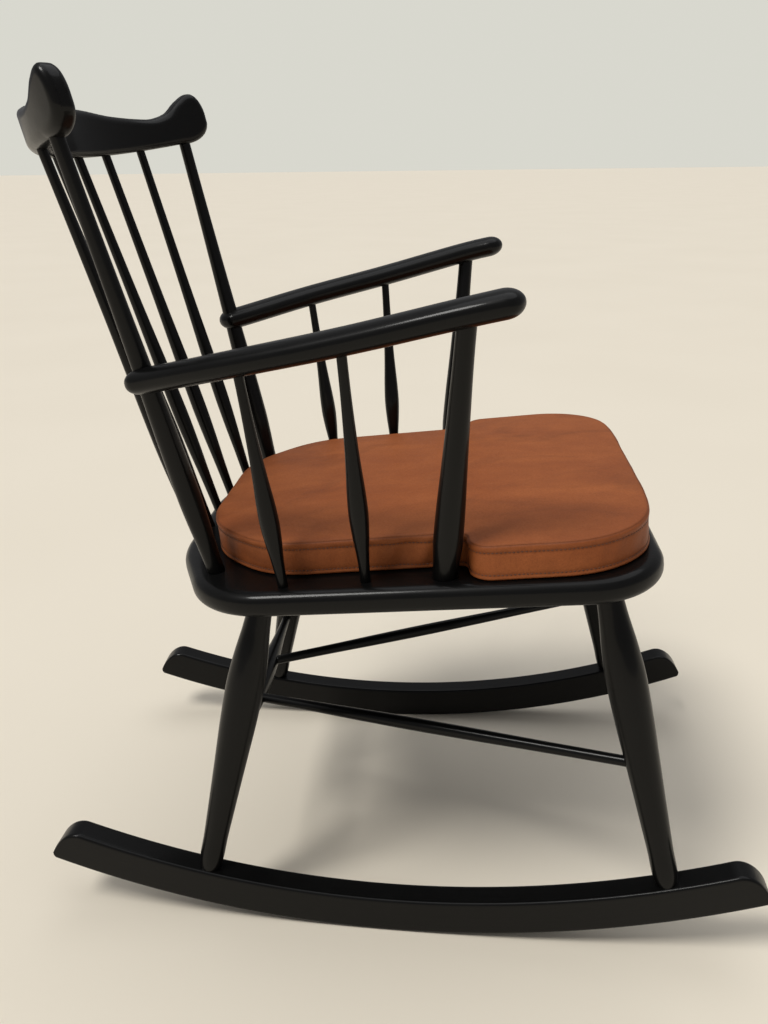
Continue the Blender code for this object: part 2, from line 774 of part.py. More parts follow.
def build_arms(shop, posts):
    post_radii = (ARM_POST_TOP_RADIUS, ARM_POST_SWELL_RADIUS, ARM_POST_FOOT_RADIUS)
    spindle_radii = (ARM_SPINDLE_TOP_RADIUS, ARM_SPINDLE_SWELL_RADIUS, ARM_SPINDLE_FOOT_RADIUS)
    for side, sign in (("left", 1), ("right", -1)):
        arm = f"arm_{side}"
        shop.add(arm, arm_mesh(sign))
        cut_arm_for_post(shop, arm, sign, *posts[side])
        head = arm_at(ARM_POST_Y[0], sign)
        foot = seat_point(sign * ARM_POST_FOOT_X, ARM_POST_Y[1])
        build_arm_upright(shop, f"arm_post_{side}", arm, head, foot, post_radii, ARM_POST_SWELL_AT)
        for number, (head_y, foot_y) in enumerate(ARM_SPINDLE_Y, 1):
            name = f"arm_spindle_{side}_{number}"
            head = arm_at(head_y, sign)
            foot = seat_point(sign * ARM_SPINDLE_FOOT_X, foot_y)
            build_arm_upright(shop, name, arm, head, foot, spindle_radii, ARM_SPINDLE_SWELL_AT)


def cushion_outline():
    wing = CUSHION_WING_HALF_WIDTH
    rear = CUSHION_REAR_HALF_WIDTH
    half = [
        (CUSHION_FRONT_STRAIGHT, CUSHION_FRONT, CUSHION_FRONT_CURVE),
        (wing, CUSHION_FRONT + CUSHION_FRONT_BOW, CUSHION_FRONT_CORNER),
        (wing - CUSHION_SIDE_TAPER, CUSHION_WING_BACK, CUSHION_WING_CORNER),
        (rear, CUSHION_WING_BACK, CUSHION_NOTCH_CORNER),
        (rear - CUSHION_SIDE_TAPER, CUSHION_BACK - CUSHION_BACK_SHOULDER, CUSHION_REAR_CORNER),
        (CUSHION_BACK_STRAIGHT, CUSHION_BACK, CUSHION_BACK_CURVE),
    ]
    return rounded_outline(both_sides(half))


def box_mesh(size, place):
    mesh = bpy.data.meshes.new("box")
    body = bmesh.new()
    bmesh.ops.create_cube(body, size=1.0, matrix=place @ Matrix.Diagonal((*size, 1.0)))
    body.to_mesh(mesh)
    body.free()
    return mesh


def build_cushion(shop):
    outline = cushion_outline()
    middle = seat_plane(GAP + CUSHION_THICKNESS / 2)
    rounding = CUSHION_EDGE_ROUNDING
    cover = slab_mesh(outline, CUSHION_THICKNESS, rounding, middle)
    shop.add("cushion_cover", cover, COGNAC_LEATHER)
    holes = new_collection("cushion_cover_sockets", shop.cutters)
    shop.sockets["cushion_cover"] = holes
    room = CUSHION_THICKNESS - 2 * CUSHION_WALL
    hollow = slab_mesh(outline, room, rounding - CUSHION_WALL, middle, CUSHION_WALL)
    add_object("cushion_hollow", hollow, None, holes)
    filling = CUSHION_WALL + GAP
    foam = slab_mesh(outline, CUSHION_THICKNESS - 2 * filling, rounding - filling, middle, filling)
    shop.add("cushion_foam", foam, CUSHION_FOAM)
    at_back = middle @ Matrix.Translation((0.0, CUSHION_BACK - CUSHION_WALL / 2, 0.0))
    slot = box_mesh((ZIP_LENGTH + 2 * GAP, CUSHION_WALL + 2 * GAP, ZIP_WIDTH + 2 * GAP), at_back)
    add_object("zip_slot", slot, None, holes)
    zipper = box_mesh((ZIP_LENGTH, CUSHION_WALL, ZIP_WIDTH), at_back)
    shop.add("cushion_zip", zipper, ZIP_TAPE)


def main():
    clear_scene()
    shop = Workshop()
    build_seat(shop)
    build_rockers(shop)
    legs = build_legs(shop)
    middle = build_rear_stretcher(shop, legs)
    build_diagonal_stretchers(shop, legs, middle)
    build_crest_rail(shop)
    posts = build_back(shop)
    build_arms(shop, posts)
    build_cushion(shop)
    shop.cut_sockets()


main()
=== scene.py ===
"""Looks of the rocking chair: black satin lacquer on turned wood, and a loose leather box cushion."""

import json
import math

import bmesh
import bpy
import numpy as np
from mathutils import Matrix, Vector
from mathutils.geometry import delaunay_2d_cdt


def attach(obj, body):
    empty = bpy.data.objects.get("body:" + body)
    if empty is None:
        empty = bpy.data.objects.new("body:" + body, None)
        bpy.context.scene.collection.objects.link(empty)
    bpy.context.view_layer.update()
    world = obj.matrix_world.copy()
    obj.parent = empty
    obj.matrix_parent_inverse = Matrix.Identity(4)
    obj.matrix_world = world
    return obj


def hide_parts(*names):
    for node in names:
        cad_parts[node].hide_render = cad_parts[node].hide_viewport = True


CHAIR = "chair"
CUSHION = "cushion"

# Camera: place, downward pitch, heading off +X, roll, and focal length for a 36 mm wide film
CAMERA_PLACE = (-0.986, -0.0585, 0.805)
CAMERA_PITCH = math.radians(21.5)
CAMERA_HEADING = math.radians(5.03)
CAMERA_ROLL = math.radians(0.75)
CAMERA_FOCAL = 42.19

# Seat and cushion plane, as in the frame
SEAT_HEIGHT = 0.4243
SEAT_TILT = math.radians(5.5)
SEAT_THICKNESS = 0.0265
SEAT_EDGE_ROUNDING = 0.0115
SEAT_CORNERS = ((0.2380, -0.2600, 0.075), (0.2170, 0.1940, 0.095), (0.085, 0.2500, 0.15))

ROCKER_LENGTH = 0.788
ROCKER_RADIUS = 1.10
ROCKER_HEIGHT = 0.043
ROCKER_THICKNESS = 0.028
ROCKER_ROUNDING = 0.0035
ROCKER_SPREAD = 0.210
ROCKER_SPLAY = math.radians(1.8)
ROCKER_LOW_POINT = 0.012
ROCKER_END_TOP = 0.026
ROCKER_END_BOTTOM = 0.0055
ROCKER_TIP_SHARE = 0.16

CREST_ARC_RADIUS = 0.268
CREST_ARC_BACK = 0.3612
CREST_LEAN = 0.22
CREST_BASE_HEIGHT = 0.808
CREST_HALF_LENGTH = 0.2435
CREST_THICKNESS = 0.0215
CREST_ROUNDING = 0.0080
CREST_TOP_EDGE = (
    (0.0, 0.050),
    (0.055, 0.0488),
    (0.105, 0.0440),
    (0.158, 0.0422),
    (0.190, 0.0485),
    (0.212, 0.0640),
    (0.2290, 0.0718),
)
CREST_EAR_DROP = 0.023
CREST_BOTTOM_RISE = 0.015
CREST_END_START = 0.201
CREST_END_RISE = 0.027

ARM_WIDTH = 0.042
ARM_THICKNESS = 0.0245
ARM_SQUARENESS = 2.35
ARM_ROUTE = (
    (0.167, 0.253, 0.609),
    (0.178, 0.226, 0.615),
    (0.210, 0.140, 0.637),
    (0.231, 0.040, 0.661),
    (0.247, -0.060, 0.687),
    (0.247, -0.110, 0.698),
)

CUSHION_LIFT = 0.0003
CUSHION_THICKNESS = 0.036
CUSHION_CORNERS = (
    (0.1100, -0.2535, 0.350),
    (0.2208, -0.2440, 0.087),
    (0.2190, -0.0720, 0.022),
    (0.1815, -0.0720, 0.011),
    (0.1795, 0.1320, 0.100),
    (0.1015, 0.2085, 0.115),
)
CUSHION_SPACING = 0.0046
CUSHION_CELL = 0.0062
PANEL_RINGS = (0.0016, 0.0042, 0.0085)
BAND_ROWS = (
    0.0,
    0.0013,
    0.0036,
    0.0058,
    0.0082,
    0.0120,
    0.0170,
    0.0220,
    0.0262,
    0.0288,
    0.0312,
    0.0345,
    0.036,
)
STITCH_ROWS = (3, 9)
STITCH_LENGTH = 0.0027
STITCH_PITCH = 0.0039
STITCH_RADIUS = 0.00050
ZIP_HALF_LENGTH = 0.050
ZIP_PITCH = 0.0016
FOAM_INSET = 0.0065
FOAM_THICKNESS = 0.029
FOAM_CLEARANCE = 0.0022
FOAM_ROUNDING = 0.005
FOAM_CENTRE = (0.0, -0.1)

# Filling of the cover: frames of cloth, and how far the band and the panels may move
FILL_FRAMES = 20
BAND_LIMIT = 0.0042
PANEL_LIMIT = 0.0105

# Reading a turned node: how near points of one ring lie, and how round the ring must be
RING_GAP = 0.00012
RING_ROUNDNESS = 0.0002
RING_POINTS = 12
END_BEVEL = 0.0004

ARM_END_LENGTH = 0.0175
ARM_LOOK_AHEAD = 0.004
FLOOR_HALF_WIDTH = 60


# Small helpers


def smooth_value(points, x):
    """A smooth curve through (x, y) points, flat at both ends, at each peak and where it is level."""
    for index in range(len(points) - 1):
        (x0, y0), (x1, y1) = points[index], points[index + 1]
        if x <= x1:
            break
    slopes = []
    for place in (index, index + 1):
        slope = 0.0
        if 0 < place < len(points) - 1:
            before, here, after = points[place - 1 : place + 2]
            if (here[1] - before[1]) * (after[1] - here[1]) > 0:
                slope = (after[1] - before[1]) / (after[0] - before[0])
        slopes.append(slope)
    span = x1 - x0
    t = min(max((x - x0) / span, 0.0), 1.0)
    return (
        y0 * (1 + 2 * t) * (1 - t) ** 2
        + slopes[0] * span * t * (1 - t) ** 2
        + y1 * t * t * (3 - 2 * t)
        + slopes[1] * span * t * t * (t - 1)
    )


def rounded_outline(half, step):
    """The +X half's corners (x, y, radius), mirrored, as a closed run of points with round corners."""
    corners = list(half) + [(-x, y, radius) for x, y, radius in reversed(half)]
    outline = []
    for index, (x, y, radius) in enumerate(corners):
        here = Vector((x, y))
        to_before = (Vector(corners[index - 1][:2]) - here).normalized()
        to_after = (Vector(corners[(index + 1) % len(corners)][:2]) - here).normalized()
        opening = to_before.angle(to_after)
        centre = here + (to_before + to_after).normalized() * radius / math.sin(opening / 2)
        start = here + to_before * radius / math.tan(opening / 2) - centre
        end = here + to_after * radius / math.tan(opening / 2) - centre
        turn = -start.angle_signed(end)
        pieces = max(1, round(abs(turn) / step))
        for piece in range(pieces + 1):
            outline.append(tuple(centre + Matrix.Rotation(turn * piece / pieces, 2) @ start))
    return np.array(outline)


def resampled(points, count):
    """Evenly spaced points on a closed run of points."""
    closed = np.vstack([points, points[:1]])
    lengths = np.linalg.norm(np.diff(closed, axis=0), axis=1)
    keep = np.concatenate([[True], lengths > 1e-7])
    closed = closed[keep]
    reach = np.concatenate([[0.0], np.cumsum(np.linalg.norm(np.diff(closed, axis=0), axis=1))])
    places = np.linspace(0.0, reach[-1], count, endpoint=False)
    return np.stack([np.interp(places, reach, closed[:, axis]) for axis in range(closed.shape[1])], 1)


def outward_normals(outline):
    """Outward unit normals of an anticlockwise closed outline."""
    along = np.roll(outline, -1, axis=0) - np.roll(outline, 1, axis=0)
    normals = np.stack([along[:, 1], -along[:, 0]], 1)
    return normals / np.linalg.norm(normals, axis=1)[:, None]


def unit(vector):
    return vector / np.linalg.norm(vector)


def make_object(name, points, faces, grain=None, place=None, sharp=60):
    mesh = bpy.data.meshes.new(name)
    mesh.from_pydata([tuple(point) for point in points], [], [tuple(face) for face in faces])
    mesh.validate()
    body = bmesh.new()
    body.from_mesh(mesh)
    bmesh.ops.recalc_face_normals(body, faces=body.faces)
    body.to_mesh(mesh)
    body.free()
    mesh.shade_smooth()
    mesh.set_sharp_from_angle(angle=math.radians(sharp))
    if grain is not None:
        layer = mesh.attributes.new("grain", "FLOAT_VECTOR", "POINT")
        layer.data.foreach_set("vector", np.asarray(grain, np.float32).ravel())
    obj = bpy.data.objects.new(name, mesh)
    bpy.context.scene.collection.objects.link(obj)
    if place is not None:
        obj.matrix_world = place
    return obj


def ring_quads(rings, sides, first=0):
    """Quads between closed rings of points."""
    faces = []
    for ring in range(rings - 1):
        for side in range(sides):
            a = first + ring * sides + side
            b = first + ring * sides + (side + 1) % sides
            faces.append((a, b, b + sides, a + sides))
    return faces


def tube_faces(rings, sides, first=0):
    """Quads between closed rings of points, and a fan at each end to a pole point after the rings."""
    faces = ring_quads(rings, sides, first)
    start_pole = first + rings * sides
    for side in range(sides):
        after = (side + 1) % sides
        faces.append((start_pole, first + after, first + side))
        last = first + (rings - 1) * sides
        faces.append((start_pole + 1, last + side, last + after))
    return faces


def seat_plane(above):
    return (
        Matrix.Translation((0.0, 0.0, SEAT_HEIGHT))
        @ Matrix.Rotation(-SEAT_TILT, 4, "X")
        @ Matrix.Translation((0.0, 0.0, above))
    )


# Materials


class Nodes:
    """Short calls for building a node tree."""

    def __init__(self, name):
        self.material = bpy.data.materials.new(name)
        self.material.use_nodes = True
        self.tree = self.material.node_tree
        self.shader = self.tree.nodes["Principled BSDF"]

    def new(self, kind, **settings):
        node = self.tree.nodes.new(kind)
        for key, value in settings.items():
            setattr(node, key, value)
        return node

    def link(self, source, target):
        self.tree.links.new(source, target)

    def put(self, target, value):
        if isinstance(value, bpy.types.NodeSocket):
            self.link(value, target)
        else:
            target.default_value = value

    def attribute(self, name):
        return self.new("ShaderNodeAttribute", attribute_type="GEOMETRY", attribute_name=name)

    def mapped(self, vector, scale, offset=(0.0, 0.0, 0.0)):
        node = self.new("ShaderNodeMapping")
        self.link(vector, node.inputs["Vector"])
        node.inputs["Scale"].default_value = scale
        node.inputs["Location"].default_value = offset
        return node.outputs["Vector"]

    def noise(self, vector, scale, detail=3.0, roughness=0.5, distortion=0.0):
        node = self.new("ShaderNodeTexNoise")
        self.link(vector, node.inputs["Vector"])
        node.inputs["Scale"].default_value = scale
        node.inputs["Detail"].default_value = detail
        node.inputs["Roughness"].default_value = roughness
        node.inputs["Distortion"].default_value = distortion
        return node.outputs["Fac"]

    def cells(self, vector, scale, feature="F1"):
        node = self.new("ShaderNodeTexVoronoi", feature=feature)
        self.link(vector, node.inputs["Vector"])
        node.inputs["Scale"].default_value = scale
        return node.outputs["Distance"]

    def remap(self, value, low, high, to_low, to_high):
        node = self.new("ShaderNodeMapRange", clamp=True)
        self.link(value, node.inputs["Value"])
        node.inputs["From Min"].default_value = low
        node.inputs["From Max"].default_value = high
        node.inputs["To Min"].default_value = to_low
        node.inputs["To Max"].default_value = to_high
        return node.outputs["Result"]

    def math(self, operation, a, b):
        node = self.new("ShaderNodeMath", operation=operation)
        self.put(node.inputs[0], a)
        self.put(node.inputs[1], b)
        return node.outputs["Value"]

    def mix(self, share, a, b):
        node = self.new("ShaderNodeMix", data_type="RGBA")
        self.put(node.inputs["Factor"], share)
        self.put(node.inputs[6], a)
        self.put(node.inputs[7], b)
        return node.outputs[2]

    def bump(self, height, distance, strength=1.0, below=None):
        node = self.new("ShaderNodeBump")
        self.link(height, node.inputs["Height"])
        node.inputs["Distance"].default_value = distance
        node.inputs["Strength"].default_value = strength
        if below is not None:
            self.link(below, node.inputs["Normal"])
        return node.outputs["Normal"]


def lacquer_material():
    """Black satin lacquer over wood: faint grain, brush drag and a slightly uneven sheen."""
    m = Nodes("lacquer")
    grain = m.attribute("grain").outputs["Vector"]
    body = m.new("ShaderNodeTexCoord").outputs["Object"]
    pores = m.noise(m.mapped(grain, (620.0, 620.0, 26.0)), 1.0, 4.0, 0.6)
    drag = m.noise(m.mapped(grain, (150.0, 150.0, 5.0)), 1.0, 3.0, 0.55, 0.4)
    peel = m.noise(body, 260.0, 2.0, 0.5)
    cloud = m.noise(body, 9.0, 3.0, 0.5)
    rub = m.noise(body, 34.0, 5.0, 0.65)
    dark = m.mix(cloud, (0.0020, 0.0020, 0.0021, 1.0), (0.0038, 0.0037, 0.0035, 1.0))
    pored = m.mix(m.remap(pores, 0.52, 0.75, 0.0, 0.55), dark, (0.0014, 0.0014, 0.0014, 1.0))
    worn = m.mix(m.remap(rub, 0.62, 0.80, 0.0, 0.35), pored, (0.0085, 0.0083, 0.0078, 1.0))
    m.link(worn, m.shader.inputs["Base Color"])
    sheen = m.math("ADD", m.remap(cloud, 0.3, 0.7, 0.335, 0.405), m.remap(rub, 0.35, 0.75, -0.02, 0.055))
    m.link(sheen, m.shader.inputs["Roughness"])
    m.shader.inputs["Specular IOR Level"].default_value = 0.09
    m.shader.inputs["Coat Weight"].default_value = 0.22
    m.shader.inputs["Coat Roughness"].default_value = 0.12
    fine = m.bump(pores, 0.00007, 0.55)
    dragged = m.bump(drag, 0.00016, 0.5, fine)
    m.link(m.bump(peel, 0.00006, 0.5, dragged), m.shader.inputs["Normal"])
    return m.material


def leather_material():
    """Cognac aniline leather: cloudy colour, darker smudges, fine pebbled grain, painted shade along the
    seams.
    """
    m = Nodes("leather")
    place = m.new("ShaderNodeTexCoord").outputs["Object"]
    seam = m.attribute("seam").outputs["Fac"]
    streaks = m.noise(m.mapped(place, (17.0, 7.5, 17.0)), 1.0, 5.0, 0.55, 0.6)
    smudges = m.noise(m.mapped(place, (13.0, 7.0, 13.0), (3.1, 7.7, 1.3)), 1.0, 4.0, 0.6, 0.9)
    blotch = m.noise(m.mapped(place, (55.0, 30.0, 55.0), (1.0, 2.0, 5.0)), 1.0, 4.0, 0.6)
    mottle = m.noise(place, 420.0, 3.0, 0.6)
    pebble = m.cells(place, 820.0, "SMOOTH_F1")
    creases = m.noise(m.mapped(place, (60.0, 150.0, 90.0), (4.0, 1.0, 0.0)), 1.0, 5.0, 0.6, 1.2)
    warm_share = m.remap(streaks, 0.30, 0.70, 0.0, 1.0)
    warm = m.mix(warm_share, (0.278, 0.074, 0.0196, 1.0), (0.366, 0.108, 0.0308, 1.0))
    smudged = m.mix(m.remap(smudges, 0.52, 0.74, 0.0, 0.62), warm, (0.178, 0.052, 0.0168, 1.0))
    blotched = m.mix(m.remap(blotch, 0.45, 0.80, 0.0, 0.34), smudged, (0.208, 0.058, 0.0176, 1.0))
    lifted = m.mix(m.remap(blotch, 0.20, 0.42, 0.30, 0.0), blotched, (0.424, 0.140, 0.0464, 1.0))
    grained = m.mix(m.remap(mottle, 0.35, 0.75, 0.0, 0.22), lifted, (0.159, 0.044, 0.0144, 1.0))
    pitted = m.mix(m.remap(pebble, 0.35, 0.75, 0.0, 0.22), grained, (0.127, 0.036, 0.0120, 1.0))
    # Painted shade: the seam mask darkens the leather in the seam creases and along the stitch grooves.
    painted_seam_shade = m.mix(m.remap(seam, 0.0, 1.0, 0.0, 0.62), pitted, (0.111, 0.030, 0.0096, 1.0))
    m.link(painted_seam_shade, m.shader.inputs["Base Color"])
    rough = m.math("ADD", m.remap(streaks, 0.3, 0.7, 0.50, 0.60), m.remap(mottle, 0.3, 0.7, -0.03, 0.05))
    m.link(rough, m.shader.inputs["Roughness"])
    m.shader.inputs["Specular IOR Level"].default_value = 0.20
    fine = m.bump(pebble, 0.00016, 0.55)
    soft = m.bump(mottle, 0.00022, 0.5, fine)
    m.link(m.bump(creases, 0.00055, 0.5, soft), m.shader.inputs["Normal"])
    return m.material


def thread_material():
    m = Nodes("thread")
    place = m.new("ShaderNodeTexCoord").outputs["Object"]
    twist = m.noise(place, 1500.0, 2.0)
    colour = m.mix(twist, (0.070, 0.024, 0.011, 1.0), (0.150, 0.055, 0.026, 1.0))
    m.link(colour, m.shader.inputs["Base Color"])
    m.link(m.remap(twist, 0.3, 0.7, 0.55, 0.75), m.shader.inputs["Roughness"])
    m.link(m.bump(twist, 0.0001, 0.6), m.shader.inputs["Normal"])
    return m.material


def tape_material():
    m = Nodes("zip_tape")
    place = m.new("ShaderNodeTexCoord").outputs["Object"]
    weave = m.cells(m.mapped(place, (1.0, 1.0, 0.6)), 1500.0)
    colour = m.mix(weave, (0.045, 0.020, 0.011, 1.0), (0.085, 0.038, 0.021, 1.0))
    m.link(colour, m.shader.inputs["Base Color"])
    m.link(m.remap(weave, 0.2, 0.8, 0.70, 0.85), m.shader.inputs["Roughness"])
    m.link(m.bump(weave, 0.0001, 0.6), m.shader.inputs["Normal"])
    return m.material


def metal_material():
    m = Nodes("zip_metal")
    place = m.new("ShaderNodeTexCoord").outputs["Object"]
    rub = m.noise(place, 700.0, 4.0)
    m.link(m.mix(rub, (0.30, 0.21, 0.11, 1.0), (0.42, 0.31, 0.17, 1.0)), m.shader.inputs["Base Color"])
    m.link(m.remap(rub, 0.3, 0.7, 0.26, 0.42), m.shader.inputs["Roughness"])
    m.link(m.bump(rub, 0.00004, 0.5), m.shader.inputs["Normal"])
    m.shader.inputs["Metallic"].default_value = 1.0
    return m.material


def foam_material():
    m = Nodes("foam")
    place = m.new("ShaderNodeTexCoord").outputs["Object"]
    open_cells = m.cells(place, 900.0)
    colour = m.mix(open_cells, (0.80, 0.74, 0.55, 1.0), (0.62, 0.55, 0.38, 1.0))
    m.link(colour, m.shader.inputs["Base Color"])
    m.link(m.remap(open_cells, 0.2, 0.8, 0.88, 0.98), m.shader.inputs["Roughness"])
    m.link(m.bump(open_cells, 0.0003, 0.7), m.shader.inputs["Normal"])
    return m.material


# Wooden pieces


def node_points(name):
    points = np.array([vertex.co for vertex in frame["nodes"][name].data.vertices])
    return np.unique(np.round(points, 6), axis=0)


def turned_shape(name):
    """The axis of a turned node and its (distance, radius) profile, read from its rings."""
    points = node_points(name)
    middle = points.mean(0)
    direction = np.linalg.svd(points - middle, full_matrices=False)[2][0]
    if direction[2] < 0 or (abs(direction[2]) < 0.2 and direction[1] < 0):
        direction = -direction
    start, end = middle, middle + direction
    for _ in range(4):
        reach = (points - start) @ direction
        low = points[reach < reach.min() + 2 * END_BEVEL]
        high = points[reach > reach.max() - 2 * END_BEVEL]
        start, end = low.mean(0), high.mean(0)
        direction = unit(end - start)
    reach = (points - start) @ direction
    away = np.linalg.norm(points - start - reach[:, None] * direction, axis=1)
    order = np.argsort(reach)
    profile = []
    group = [order[0]]
    for index in list(order[1:]) + [None]:
        if index is not None and reach[index] - reach[group[0]] < RING_GAP:
            group.append(index)
            continue
        radii = away[group]
        ring = radii[radii > 0.5 * radii.max()]
        if len(ring) >= RING_POINTS and ring.std() < RING_ROUNDNESS:
            profile.append((float(reach[group].mean()), float(np.median(ring))))
        if index is not None:
            group = [index]
    return Vector(start), Vector(end), profile


def turned_piece(name, sides=48, stations=72):
    start, end, profile = turned_shape(name)
    length = (end - start).length
    ends = [END_BEVEL, length - END_BEVEL] + [place for place, _ in profile]
    places = np.unique(np.round(np.concatenate([np.linspace(0.0, length, stations), ends]), 6))
    rings = []
    for place in places:
        radius = smooth_value(profile, min(max(place, profile[0][0]), profile[-1][0]))
        if place in (places[0], places[-1]):
            radius -= END_BEVEL
        rings.append((place, radius))
    angles = np.linspace(0.0, 2 * math.pi, sides, endpoint=False)
    points = []
    for place, radius in rings:
        for angle in angles:
            points.append((radius * math.cos(angle), radius * math.sin(angle), place))
    points += [(0.0, 0.0, 0.0), (0.0, 0.0, length)]
    turn = Vector((0, 0, 1)).rotation_difference(end - start)
    seed = sum(ord(letter) for letter in name) % 17
    grain = np.array(points) + np.array([0.11, 0.07, 0.13]) * seed
    place = Matrix.LocRotScale(start, turn, None)
    return make_object(name + "_turned", points, tube_faces(len(rings), sides), grain, place)


def crest_point(distance, height, outward):
    radius = CREST_ARC_RADIUS + outward
    angle = distance / CREST_ARC_RADIUS
    centre_y = CREST_ARC_BACK - CREST_ARC_RADIUS + CREST_LEAN * (height - CREST_BOTTOM_RISE)
    return (radius * math.sin(angle), centre_y + radius * math.cos(angle), CREST_BASE_HEIGHT + height)


def crest_bottom(distance):
    rise = CREST_BOTTOM_RISE * min(distance / CREST_END_START, 1.0) ** 2
    beyond = max(distance - CREST_END_START, 0.0) / (CREST_HALF_LENGTH - CREST_END_START)
    return rise + CREST_END_RISE * (1 - math.sqrt(max(1 - beyond**2, 0.0)))


def crest_top(distance):
    peak = CREST_TOP_EDGE[-1][0]
    beyond = max(distance - peak, 0.0) / (CREST_HALF_LENGTH - peak)
    drop = CREST_EAR_DROP * (1 - math.sqrt(max(1 - beyond**2, 0.0)))
    return smooth_value(CREST_TOP_EDGE, min(distance, peak)) - drop


def crest_piece(columns=170, rows=26):
    """A sheet on the crest's arc, thick in its middle and rounded over towards its outline."""
    distances = CREST_HALF_LENGTH * np.sin(np.linspace(-math.pi / 2, math.pi / 2, columns))
    ups = 0.5 + 0.5 * np.sin(np.linspace(-math.pi / 2, math.pi / 2, rows))
    flat = np.zeros((columns, rows, 2))
    for column, distance in enumerate(distances):
        low = crest_bottom(abs(distance))
        high = crest_top(abs(distance))
        for row, up in enumerate(ups):
            flat[column, row] = (distance, low + (high - low) * up)
    edge = np.vstack([flat[:, 0], flat[-1, :], flat[::-1, -1], flat[0, ::-1]])
    edge = resampled(edge, 1600)
    gaps = np.linalg.norm(flat.reshape(-1, 1, 2) - edge[None], axis=2).min(1).reshape(columns, rows)
    gaps[0, :] = gaps[-1, :] = 0.0
    gaps[:, 0] = gaps[:, -1] = 0.0
    inward = np.clip(CREST_ROUNDING - gaps, 0.0, None)
    half = CREST_THICKNESS / 2 - CREST_ROUNDING + np.sqrt(CREST_ROUNDING**2 - inward**2)
    points, grain = [], []
    for face in (1, -1):
        for column in range(columns):
            for row in range(rows):
                distance, height = flat[column, row]
                outward = face * half[column, row]
                points.append(crest_point(distance, height, outward))
                grain.append((height, outward, distance))
    faces = []
    back = columns * rows
    for column in range(columns - 1):
        for row in range(rows - 1):
            a = column * rows + row
            faces.append((a, a + rows, a + rows + 1, a + 1))
            faces.append((back + a, back + a + 1, back + a + rows + 1, back + a + rows))
    rim = [column * rows for column in range(columns)]
    rim += [(columns - 1) * rows + row for row in range(1, rows)]
    rim += [column * rows + rows - 1 for column in range(columns - 2, -1, -1)]
    rim += [row for row in range(rows - 2, 0, -1)]
    for here, there in zip(rim, rim[1:] + rim[:1]):
        faces.append((here, there, back + there, back + here))
    return make_object("crest_rail_shaped", points, faces, grain)


def route_point(points, t):
    place = t * (len(points) - 1)
    index = min(int(place), len(points) - 2)
    local = place - index
    near = [np.array(points[min(max(step, 0), len(points) - 1)]) for step in range(index - 1, index + 3)]
    return 0.5 * (
        2 * near[1]
        + (near[2] - near[0]) * local
        + (2 * near[0] - 5 * near[1] + 4 * near[2] - near[3]) * local**2
        + (3 * near[1] - near[0] - 3 * near[2] + near[3]) * local**3
    )


def at_reach(place, reach, route):
    """The point of a route at this distance along it."""
    return np.array([np.interp(place, reach, route[:, axis]) for axis in range(3)])


def arm_piece(side, sign, sections=110, sides=44):
    """An arm: a rounded section swept along its route, closing to a round end at each tip."""
    route = np.array([route_point(ARM_ROUTE, t) for t in np.linspace(0.0, 1.0, 400)])
    route[:, 0] *= sign
    reach = np.concatenate([[0.0], np.cumsum(np.linalg.norm(np.diff(route, axis=0), axis=1))])
    total = reach[-1]
    turns = np.linspace(0.0, math.pi / 2, 12)
    start_cap = ARM_END_LENGTH * (1 - np.cos(turns))
    middle = np.linspace(ARM_END_LENGTH, total - ARM_END_LENGTH, sections)
    places = np.concatenate([start_cap[1:], middle[1:-1]])
    places = np.concatenate([places, (total - start_cap[::-1])[:-1]])
    angles = np.linspace(0.0, 2 * math.pi, sides, endpoint=False)
    points, grain = [], []
    for place in places:
        centre = at_reach(place, reach, route)
        ahead = at_reach(min(place + ARM_LOOK_AHEAD, total), reach, route)
        behind = at_reach(max(place - ARM_LOOK_AHEAD, 0.0), reach, route)
        forward = unit(ahead - behind)
        across = unit(np.cross(forward, (0.0, 0.0, 1.0)))
        up = np.cross(across, forward)
        from_end = min(min(place, total - place) / ARM_END_LENGTH, 1.0)
        size = math.sqrt(max(1 - (1 - from_end) ** 2, 0.0004))
        for angle in angles:
            wide = math.copysign(abs(math.cos(angle)) ** (2 / ARM_SQUARENESS), math.cos(angle))
            tall = math.copysign(abs(math.sin(angle)) ** (2 / ARM_SQUARENESS), math.sin(angle))
            offset = across * wide * ARM_WIDTH / 2 * size + up * tall * ARM_THICKNESS / 2 * size
            points.append(centre + offset)
            grain.append((wide * ARM_WIDTH / 2 * size, tall * ARM_THICKNESS / 2 * size, place))
    points += [route[0], route[-1]]
    grain += [(0.0, 0.0, 0.0), (0.0, 0.0, total)]
    return make_object(f"arm_{side}_shaped", points, tube_faces(len(places), sides), grain)


def rocker_span(inset):
    """How far above its underside the rocker begins and ends, at this distance from its tip."""
    low_share = min(inset / ROCKER_END_BOTTOM, 1.0)
    high_share = min(inset / ROCKER_END_TOP, 1.0)
    low = ROCKER_TIP_SHARE * (1 - math.sqrt(max(1 - (1 - low_share) ** 2, 0.0)))
    high = ROCKER_TIP_SHARE + (1 - ROCKER_TIP_SHARE) * math.sqrt(max(1 - (1 - high_share) ** 2, 0.0))
    return low * ROCKER_HEIGHT, high * ROCKER_HEIGHT


